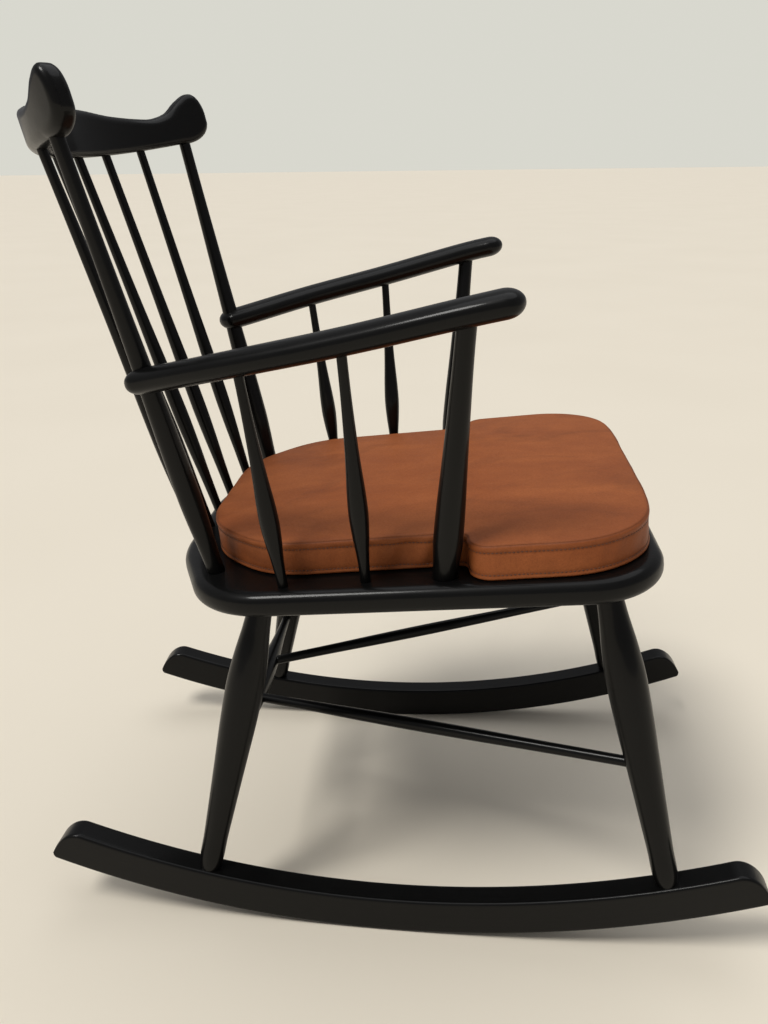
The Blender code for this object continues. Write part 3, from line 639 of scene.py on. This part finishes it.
def rocker_section(low, high, corner_steps=5):
    """A cross-section of the rocker as (across, height), with rounded corners and flats between."""
    half_width = ROCKER_THICKNESS / 2
    rounding = min(ROCKER_ROUNDING, 0.45 * (high - low))
    ring = []
    for index, (wide, tall) in enumerate(((1, 1), (-1, 1), (-1, -1), (1, -1))):
        middle = (wide * (half_width - rounding), (low if tall < 0 else high) - tall * rounding)
        for step in range(corner_steps + 1):
            turn = math.radians(90) * (index + step / corner_steps)
            ring.append((middle[0] + rounding * math.cos(turn), middle[1] + rounding * math.sin(turn)))
    section = []
    for here, there in zip(ring, ring[1:] + ring[:1]):
        share = min(0.0012 / max(math.dist(here, there), 1e-9), 1 / 3)
        for part in (0.0, share, 1 - share):
            section.append(tuple(here[axis] + (there[axis] - here[axis]) * part for axis in (0, 1)))
    return section


def rocker_piece(side, sign, steps=150):
    """A rocker: a rounded bar swept round its arc and rounded off at each tip."""
    front = math.asin((-ROCKER_LENGTH / 2 - ROCKER_LOW_POINT) / ROCKER_RADIUS)
    back = math.asin((ROCKER_LENGTH / 2 - ROCKER_LOW_POINT) / ROCKER_RADIUS)
    turns = np.linspace(0.0, math.pi / 2, 18)[1:]
    shares = 1 - np.cos(turns)
    insets = np.unique(np.concatenate([ROCKER_END_TOP * shares, ROCKER_END_BOTTOM * shares]))
    near_front = front + insets / ROCKER_RADIUS
    near_back = back - insets[::-1] / ROCKER_RADIUS
    middle = np.linspace(near_front[-1], near_back[0], steps)
    angles = np.concatenate([near_front, middle[1:-1], near_back])
    points, grain = [], []

    def add(across, lift, angle):
        radius = ROCKER_RADIUS - lift
        along = ROCKER_LOW_POINT + radius * math.sin(angle)
        height = ROCKER_RADIUS - radius * math.cos(angle)
        x = sign * ROCKER_SPREAD + across * math.cos(ROCKER_SPLAY) - sign * along * math.sin(ROCKER_SPLAY)
        y = sign * across * math.sin(ROCKER_SPLAY) + along * math.cos(ROCKER_SPLAY)
        points.append((x, y, height))
        grain.append((across, lift, angle * ROCKER_RADIUS))

    for angle in angles:
        section = rocker_section(*rocker_span(min(angle - front, back - angle) * ROCKER_RADIUS))
        for across, lift in section:
            add(across, lift, angle)
    for angle in (front, back):
        add(0.0, ROCKER_TIP_SHARE * ROCKER_HEIGHT, angle)
    return make_object(f"rocker_{side}_shaped", points, tube_faces(len(angles), len(section)), grain)


def slab_piece(name, outline, thickness, rounding, centre, edge_steps, place):
    """A slab: rings of its outline, stepped round a rounded edge and in across both faces."""
    normals = outward_normals(outline)
    flat = thickness / 2 - rounding
    inner = outline - normals * (rounding + 0.002)
    shares = (0.25, 0.55, 0.85, 1.0)
    rings = [(centre + (inner - centre) * share, -thickness / 2) for share in shares]
    for step in range(edge_steps + 1):
        turn = math.pi * step / edge_steps - math.pi / 2
        side = 0.0 if abs(turn) < 1e-6 else math.copysign(flat, turn)
        ring = outline - normals * rounding * (1 - math.cos(turn))
        rings.append((ring, math.sin(turn) * rounding + side))
    rings += [(centre + (inner - centre) * share, thickness / 2) for share in reversed(shares)]
    points = [(x, y, lift) for ring, lift in rings for x, y in ring]
    points += [(centre[0], centre[1], -thickness / 2), (centre[0], centre[1], thickness / 2)]
    grain = [(x, z, y) for x, y, z in points]
    return make_object(name, points, tube_faces(len(rings), len(outline)), grain, place)


def seat_piece():
    outline = resampled(rounded_outline(SEAT_CORNERS, math.radians(2)), 260)
    place = seat_plane(-SEAT_THICKNESS / 2)
    return slab_piece("seat_shaped", outline, SEAT_THICKNESS, SEAT_EDGE_ROUNDING, np.zeros(2), 14, place)


# Cushion


def cushion_panel(outline, normals):
    """One flat panel: rings that follow the seam, then square cells inside."""
    rings = [outline] + [outline - normals * inset for inset in PANEL_RINGS]
    inner = [Vector(point) for point in rings[-1]]
    border = outline - normals * (PANEL_RINGS[-1] + 0.55 * CUSHION_CELL)
    low, high = outline.min(0), outline.max(0)
    cells = []
    for row in range(int((high[1] - low[1]) / CUSHION_CELL)):
        for column in range(int((high[0] - low[0]) / CUSHION_CELL) + 1):
            x = (column - round((high[0] - low[0]) / CUSHION_CELL / 2)) * CUSHION_CELL
            y = low[1] + (row + 0.5) * CUSHION_CELL
            if inside(border, x, y):
                cells.append(Vector((x, y)))
    count = len(outline)
    edges = [(index, (index + 1) % count) for index in range(count)]
    points, _, faces, origin, _, _ = delaunay_2d_cdt(inner + cells, edges, [], 1, 1e-7)
    if len(points) != len(inner) + len(cells) or any(len(source) != 1 for source in origin):
        raise RuntimeError("the cushion's panel didn't keep its points")
    place = [source[0] for source in origin]
    flat = [tuple(point) for ring in rings[:-1] for point in ring]
    first = len(flat)
    flat += [tuple(point) for point in inner + cells]
    body = ring_quads(len(rings), count)
    body += [tuple(first + place[index] for index in face) for face in faces]
    return flat, body


def inside(outline, x, y):
    x0, y0 = outline[:, 0], outline[:, 1]
    x1, y1 = np.roll(x0, -1), np.roll(y0, -1)
    crosses = (y0 > y) != (y1 > y)
    with np.errstate(divide="ignore", invalid="ignore"):
        at = x0 + (y - y0) / (y1 - y0) * (x1 - x0)
    return bool(np.count_nonzero(crosses & (x < at)) % 2)


def cushion_shell():
    """The cushion's cover before it is filled: two panels and the band between them."""
    outline = rounded_outline(CUSHION_CORNERS, math.radians(6))
    length = np.linalg.norm(np.diff(np.vstack([outline, outline[:1]]), axis=0), axis=1).sum()
    count = round(length / CUSHION_SPACING)
    outline = resampled(outline, count)
    normals = outward_normals(outline)
    flat, panel = cushion_panel(outline, normals)
    points = [(x, y, lift) for lift in BAND_ROWS for x, y in outline]
    faces = ring_quads(len(BAND_ROWS), count)
    top = len(points)
    points += [(x, y, CUSHION_THICKNESS) for x, y in flat[count:]]
    bottom = len(points)
    points += [(x, y, 0.0) for x, y in flat[count:]]
    last_row = (len(BAND_ROWS) - 1) * count
    for face in panel:
        above = [last_row + index if index < count else top + index - count for index in face]
        below = [index if index < count else bottom + index - count for index in face]
        faces.append(tuple(above))
        faces.append(tuple(reversed(below)))
    return points, faces, count, top, bottom


def join_cells(obj):
    """Turns the pairs of triangles in the square cells back into quads."""
    body = bmesh.new()
    body.from_mesh(obj.data)
    triangles = [face for face in body.faces if len(face.verts) == 3]
    bmesh.ops.join_triangles(
        body, faces=triangles, angle_face_threshold=0.3, angle_shape_threshold=0.7, cmp_seam=False
    )
    body.to_mesh(obj.data)
    body.free()


def fill_cushion(obj, count, bottom):
    """Cloth with pressure fills the cover, held at its seams and on the seat."""
    start = np.array([vertex.co for vertex in obj.data.vertices])
    last_row = (len(BAND_ROWS) - 1) * count
    held = obj.vertex_groups.new(name="held")
    held.add(list(range(count)) + list(range(last_row, last_row + count)), 1.0, "REPLACE")
    held.add(list(range(bottom, len(start))), 1.0, "REPLACE")
    slack = obj.vertex_groups.new(name="slack")
    for index, (x, y, _) in enumerate(start):
        near_notch = math.exp(-(((y + 0.040) / 0.055) ** 2)) * (abs(x) > 0.150)
        band = 1.0 if count <= index < last_row else 0.35
        slack.add([index], min(1.0, band * (0.35 + 0.65 * near_notch)), "REPLACE")
    cloth = obj.modifiers.new("filling", "CLOTH")
    settings = cloth.settings
    settings.quality = 7
    settings.mass = 0.25
    settings.tension_stiffness = 22.0
    settings.compression_stiffness = 22.0
    settings.shear_stiffness = 9.0
    settings.bending_stiffness = 0.9
    settings.use_pressure = True
    settings.uniform_pressure_force = 4.0
    settings.vertex_group_mass = "held"
    settings.vertex_group_shrink = "slack"
    settings.shrink_min = 0.0
    settings.shrink_max = -0.045
    settings.effector_weights.gravity = 0.0
    cloth.collision_settings.use_collision = False
    cloth.point_cache.frame_start = 1
    cloth.point_cache.frame_end = FILL_FRAMES
    scene = bpy.context.scene
    for step in range(1, FILL_FRAMES + 1):
        scene.frame_set(step)
    graph = bpy.context.evaluated_depsgraph_get()
    done = obj.evaluated_get(graph).to_mesh()
    filled = np.zeros(len(done.vertices) * 3)
    done.vertices.foreach_get("co", filled)
    filled = filled.reshape(-1, 3)
    obj.evaluated_get(graph).to_mesh_clear()
    obj.modifiers.clear()
    obj.vertex_groups.clear()
    scene.frame_set(1)
    moved = filled - start
    distance = np.linalg.norm(moved, axis=1)
    order = np.arange(len(start))
    cap = np.where((order >= count) & (order < last_row), BAND_LIMIT, PANEL_LIMIT)
    share = cap * np.tanh(distance / cap) / np.maximum(distance, 1e-9)
    return start + moved * share[:, None]


def settle_details(points, count, top):
    """Seams drawn in, a lightly wavy edge, and the folds by the arm posts."""
    rows = len(BAND_ROWS)
    outline = points[:count, :2].copy()
    normals = outward_normals(outline)
    normals3 = np.hstack([normals, np.zeros((count, 1))])
    along = np.concatenate([[0.0], np.cumsum(np.linalg.norm(np.diff(outline, axis=0), axis=1))])
    length = along[-1] + np.linalg.norm(outline[0] - outline[-1])
    phase = 2 * math.pi * along / length
    wave = 0.35 * np.sin(9 * phase + 0.7) + 0.3 * np.sin(17 * phase + 2.1) + 0.2 * np.sin(31 * phase + 4.0)
    lifts = np.array(BAND_ROWS)
    for row in range(rows):
        first = row * count
        share = math.sin(math.pi * lifts[row] / CUSHION_THICKNESS)
        points[first : first + count] += normals3 * (0.0011 * wave * (0.4 + 0.6 * share))[:, None]
        puff = 0.0
        if row in (1, 2, rows - 3, rows - 2):
            puff = 0.0006
        if row in STITCH_ROWS:
            puff = -0.0007
        if row in (0, rows - 1):
            puff = -0.0012
        points[first : first + count] += normals3 * puff
    points[(rows - 1) * count : rows * count, 2] -= 0.0007
    points[top : top + count, 2] += 0.0004
    points[:count, 2] += 0.0010
    gather_band(points, count, outline, normals3)
    return points


def gather_band(points, count, outline, normals3):
    """Diagonal folds in the band, strongest beside the notch of the cover on each side."""
    rows = len(BAND_ROWS)
    for row in range(1, rows - 1):
        lift = BAND_ROWS[row]
        fade = math.sin(math.pi * lift / CUSHION_THICKNESS) ** 0.8
        for index in range(count):
            x, y = outline[index]
            if abs(x) < 0.150:
                continue
            near = math.exp(-(((y + 0.018) / 0.036) ** 2))
            fold = math.sin(2 * math.pi * (y * 26 + 9.0 * (lift - 0.018) + 0.13 * (x > 0)))
            folds = 0.0027 * near * fold * fade
            small = 0.00035 * math.sin(2 * math.pi * (y * 61 + 14 * lift + x)) * fade
            points[row * count + index] += normals3[index] * (folds + small)


def seam_shade(points, count, top, bottom):
    """Painted shade for the leather's seam creases and stitch grooves: 1 in a seam, falling to 0 a few
    millimetres from it.
    """
    rows = len(BAND_ROWS)
    shade = np.zeros(len(points))
    for row in range(rows):
        nearest = min(abs(BAND_ROWS[row] - lift) for lift in (0.0, CUSHION_THICKNESS))
        value = math.exp(-nearest / 0.0011)
        # painted shade along the stitch grooves: at least 0.8 on each stitch row
        if row in STITCH_ROWS:
            value = max(value, 0.8)
        shade[row * count : (row + 1) * count] = value
    for ring, inset in enumerate(PANEL_RINGS):
        for first in (top, bottom):
            start = first + ring * count
            shade[start : start + count] = math.exp(-inset / 0.0014)
    return shade


def cushion_piece():
    points, faces, count, top, bottom = cushion_shell()
    obj = make_object("cushion_cover_sewn", points, faces)
    filled = fill_cushion(obj, count, bottom)
    final = settle_details(filled, count, top)
    obj.data.vertices.foreach_set("co", final.astype(np.float32).ravel())
    # how much painted shade the leather gets near each seam and stitch row, kept as the seam attribute
    shade = seam_shade(final, count, top, bottom)
    layer = obj.data.attributes.new("seam", "FLOAT", "POINT")
    layer.data.foreach_set("value", shade.astype(np.float32))
    join_cells(obj)
    crease_seams(obj, count)
    smooth = obj.modifiers.new("smooth", "SUBSURF")
    smooth.levels = 1
    smooth.render_levels = 1
    bpy.context.view_layer.update()
    graph = bpy.context.evaluated_depsgraph_get()
    mesh = bpy.data.meshes.new_from_object(obj.evaluated_get(graph))
    obj.modifiers.clear()
    obj.data = mesh
    mesh.shade_smooth()
    mesh.name = "cushion_cover_sewn"
    obj.matrix_world = seat_plane(CUSHION_LIFT)
    sewn = np.array([vertex.co for vertex in mesh.vertices])[: len(final)]
    return obj, sewn, count


def foam_piece():
    """The foam pad inside the cover."""
    outline = resampled(rounded_outline(CUSHION_CORNERS, math.radians(4)), 300)
    outline = outline - outward_normals(outline) * FOAM_INSET
    place = seat_plane(CUSHION_LIFT + FOAM_CLEARANCE + FOAM_THICKNESS / 2)
    centre = np.array(FOAM_CENTRE)
    return slab_piece("cushion_foam_pad", outline, FOAM_THICKNESS, FOAM_ROUNDING, centre, 8, place)


def crease_seams(obj, count):
    """Keeps the two seams crisp when the cover is smoothed."""
    last_row = (len(BAND_ROWS) - 1) * count
    crease = obj.data.attributes.new("crease_edge", "FLOAT", "EDGE")
    for edge in obj.data.edges:
        low, high = sorted(edge.vertices)
        in_bottom_seam = high < count
        in_top_seam = last_row <= low and high < last_row + count
        if in_bottom_seam or in_top_seam:
            crease.data[edge.index].value = 0.9


def stitching_piece(sewn, count):
    """Both rows of topstitching: short rounded stitches laid on the band."""
    points, faces = [], []
    for row in STITCH_ROWS:
        line = sewn[row * count : (row + 1) * count]
        closed = np.vstack([line, line[:1]])
        reach = np.concatenate([[0.0], np.cumsum(np.linalg.norm(np.diff(closed, axis=0), axis=1))])
        flat = outward_normals(line[:, :2])
        stitches = int(reach[-1] / STITCH_PITCH)
        for stitch in range(stitches):
            middle = reach[-1] * stitch / stitches
            ends = []
            for place in (middle - STITCH_LENGTH / 2, middle + STITCH_LENGTH / 2):
                wrapped = place % reach[-1]
                ends.append(at_reach(wrapped, reach, closed))
            index = min(int(np.searchsorted(reach, middle)), count - 1)
            out = np.array([flat[index][0], flat[index][1], 0.0])
            add_stitch(points, faces, ends[0], ends[1], out)
    return make_object("cushion_stitching", points, faces, place=seat_plane(CUSHION_LIFT))


def add_stitch(points, faces, start, end, out):
    forward = unit(end - start)
    side = np.cross(forward, out)
    length = np.linalg.norm(end - start)
    shape = ((0.0, 0.35, -0.5), (0.18, 0.9, 0.15), (0.5, 1.0, 0.35), (0.82, 0.9, 0.15), (1.0, 0.35, -0.5))
    first = len(points)
    sides = 6
    for share, size, lift in shape:
        centre = start + forward * length * share + out * STITCH_RADIUS * lift
        for index in range(sides):
            angle = 2 * math.pi * index / sides
            points.append(centre + STITCH_RADIUS * size * (math.cos(angle) * out + math.sin(angle) * side))
    points.append(start - out * STITCH_RADIUS * 0.5)
    points.append(end - out * STITCH_RADIUS * 0.5)
    faces += tube_faces(len(shape), sides, first)


def box_points(low, high):
    points = [(x, y, z) for x in (low[0], high[0]) for y in (low[1], high[1]) for z in (low[2], high[2])]
    faces = [(0, 1, 3, 2), (4, 6, 7, 5), (0, 4, 5, 1), (2, 3, 7, 6), (0, 2, 6, 4), (1, 5, 7, 3)]
    return points, faces


def joined_boxes(name, boxes, place):
    points, faces = [], []
    for low, high in boxes:
        more, sides = box_points(low, high)
        faces += [tuple(len(points) + index for index in side) for side in sides]
        points += more
    obj = make_object(name, points, faces, place=place, sharp=30)
    soften = obj.modifiers.new("soften", "BEVEL")
    soften.width = 0.00015
    soften.segments = 2
    return obj


def zip_pieces(sewn, count):
    """The zip at the back of the band: two tapes, a run of teeth, and a slider with its pull."""
    rows = len(BAND_ROWS)
    band = sewn[: rows * count].reshape(rows, count, 3)
    near = (np.abs(band[6, :, 0]) < ZIP_HALF_LENGTH) & (band[6, :, 1] > 0.1)
    back = float(band[4:9, near, 1].max())
    middle = CUSHION_THICKNESS / 2
    place = seat_plane(CUSHION_LIFT)
    tapes, teeth = [], []
    for sign in (1, -1):
        low, high = sorted((middle + sign * 0.0006, middle + sign * 0.0042))
        tapes.append(((-ZIP_HALF_LENGTH, back - 0.0016, low), (ZIP_HALF_LENGTH, back + 0.0003, high)))
    for index in range(int(2 * ZIP_HALF_LENGTH / ZIP_PITCH)):
        x = -ZIP_HALF_LENGTH + (index + 0.5) * ZIP_PITCH
        shift = 0.00025 if index % 2 else -0.00025
        low = (x - 0.0005, back - 0.0004, middle + shift - 0.0010)
        high = (x + 0.0005, back + 0.0007, middle + shift + 0.0010)
        teeth.append((low, high))
    grip = -ZIP_HALF_LENGTH + 0.006
    slider = [
        ((grip - 0.004, back + 0.0002, middle - 0.0026), (grip + 0.004, back + 0.0018, middle + 0.0026)),
        ((grip - 0.0012, back + 0.0016, middle - 0.0012), (grip + 0.0012, back + 0.0026, middle + 0.0012)),
        ((grip - 0.0018, back + 0.0018, middle - 0.0130), (grip + 0.0018, back + 0.0026, middle - 0.0008)),
    ]
    return (
        joined_boxes("cushion_zip_tape", tapes, place),
        joined_boxes("cushion_zip_teeth", teeth, place),
        joined_boxes("cushion_zip_slider", slider, place),
    )


# Scene


def finish_piece(piece, body, slot, look, *nodes):
    piece.data.materials.clear()
    piece.data.materials.append(look)
    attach(piece, body)
    if nodes:
        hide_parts(*nodes)


def build_chair():
    lacquer = lacquer_material()
    shaped = {"seat": seat_piece(), "crest_rail": crest_piece()}
    for side, sign in (("left", 1), ("right", -1)):
        shaped[f"arm_{side}"] = arm_piece(side, sign)
        shaped[f"rocker_{side}"] = rocker_piece(side, sign)
    for node in frame["record"]["behaviour"]["bodies"][CHAIR]:
        piece = shaped.get(node) or turned_piece(node)
        finish_piece(piece, CHAIR, "black_lacquer", lacquer, node)


def build_cushion():
    leather = leather_material()
    tape = tape_material()
    metal = metal_material()
    cover, sewn, count = cushion_piece()
    finish_piece(cover, CUSHION, "cognac_leather", leather, "cushion_cover")
    finish_piece(stitching_piece(sewn, count), CUSHION, "cognac_leather", thread_material())
    tapes, teeth, slider = zip_pieces(sewn, count)
    finish_piece(tapes, CUSHION, "zip_tape", tape, "cushion_zip")
    finish_piece(teeth, CUSHION, "zip_tape", metal)
    finish_piece(slider, CUSHION, "zip_tape", metal)
    finish_piece(foam_piece(), CUSHION, "cushion_foam", foam_material(), "cushion_foam")


def build_floor():
    reach = FLOOR_HALF_WIDTH
    corners = [(-reach, -reach, 0), (reach, -reach, 0), (reach, reach, 0), (-reach, reach, 0)]
    floor = make_object("floor", corners, [(0, 1, 2, 3)])
    m = Nodes("pale_floor")
    place = m.new("ShaderNodeTexCoord").outputs["Object"]
    soft = m.noise(place, 1.4, 2.0)
    colour = m.mix(soft, (0.775, 0.705, 0.585, 1.0), (0.815, 0.745, 0.625, 1.0))
    m.link(colour, m.shader.inputs["Base Color"])
    m.shader.inputs["Roughness"].default_value = 0.75
    floor.data.materials.append(m.material)


def add_sun(name, source, spread, strength, colour):
    data = bpy.data.lights.new(name, "SUN")
    data.energy = strength
    data.angle = math.radians(spread)
    data.color = colour
    light = bpy.data.objects.new(name, data)
    light.location = source
    light.rotation_euler = (-Vector(source)).to_track_quat("-Z", "Y").to_euler()
    bpy.context.scene.collection.objects.link(light)


def build_lights():
    """A dim even world under soft suns, with a pale backdrop that only the camera sees."""
    world = bpy.data.worlds.new("studio")
    world.use_nodes = True
    tree = world.node_tree
    output = tree.nodes["World Output"]
    fill = tree.nodes["Background"]
    fill.inputs["Color"].default_value = (0.98, 0.98, 1.0, 1.0)
    fill.inputs["Strength"].default_value = 0.27
    backdrop = tree.nodes.new("ShaderNodeBackground")
    backdrop.inputs["Color"].default_value = (0.69, 0.685, 0.62, 1.0)
    rays = tree.nodes.new("ShaderNodeLightPath")
    mix = tree.nodes.new("ShaderNodeMixShader")
    tree.links.new(rays.outputs["Is Camera Ray"], mix.inputs[0])
    tree.links.new(fill.outputs[0], mix.inputs[1])
    tree.links.new(backdrop.outputs[0], mix.inputs[2])
    tree.links.new(mix.outputs[0], output.inputs["Surface"])
    bpy.context.scene.world = world
    add_sun("key", (-0.9, 1.1, 2.4), 19.0, 1.85, (1.0, 0.985, 0.95))
    add_sun("top", (0.5, -0.3, 2.5), 60.0, 0.86, (0.97, 0.985, 1.0))


def build_camera():
    heading = Vector((math.cos(CAMERA_HEADING), math.sin(CAMERA_HEADING), 0.0))
    level_right = Vector((math.sin(CAMERA_HEADING), -math.cos(CAMERA_HEADING), 0.0))
    up = Vector((0.0, 0.0, 1.0))
    forward = heading * math.cos(CAMERA_PITCH) - up * math.sin(CAMERA_PITCH)
    down = -heading * math.sin(CAMERA_PITCH) - up * math.cos(CAMERA_PITCH)
    right = level_right * math.cos(CAMERA_ROLL) + down * math.sin(CAMERA_ROLL)
    below = down * math.cos(CAMERA_ROLL) - level_right * math.sin(CAMERA_ROLL)
    data = bpy.data.cameras.new("camera")
    data.sensor_fit = "HORIZONTAL"
    data.sensor_width = 36.0
    data.lens = CAMERA_FOCAL
    data.clip_start = 0.02
    camera = bpy.data.objects.new("camera", data)
    axes = Matrix((right, -below, -forward)).transposed().to_4x4()
    camera.matrix_world = Matrix.Translation(CAMERA_PLACE) @ axes
    bpy.context.scene.collection.objects.link(camera)
    bpy.context.scene.camera = camera


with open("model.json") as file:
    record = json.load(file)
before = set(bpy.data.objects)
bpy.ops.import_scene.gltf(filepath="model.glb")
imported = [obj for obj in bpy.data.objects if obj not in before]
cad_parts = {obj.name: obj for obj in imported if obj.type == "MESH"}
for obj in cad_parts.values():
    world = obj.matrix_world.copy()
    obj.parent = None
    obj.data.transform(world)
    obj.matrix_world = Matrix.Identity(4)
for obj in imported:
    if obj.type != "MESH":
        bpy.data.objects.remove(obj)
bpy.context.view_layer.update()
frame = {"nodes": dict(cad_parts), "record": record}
bpy.context.scene.view_settings.view_transform = "Standard"
build_camera()
build_lights()
build_floor()
build_chair()
build_cushion()
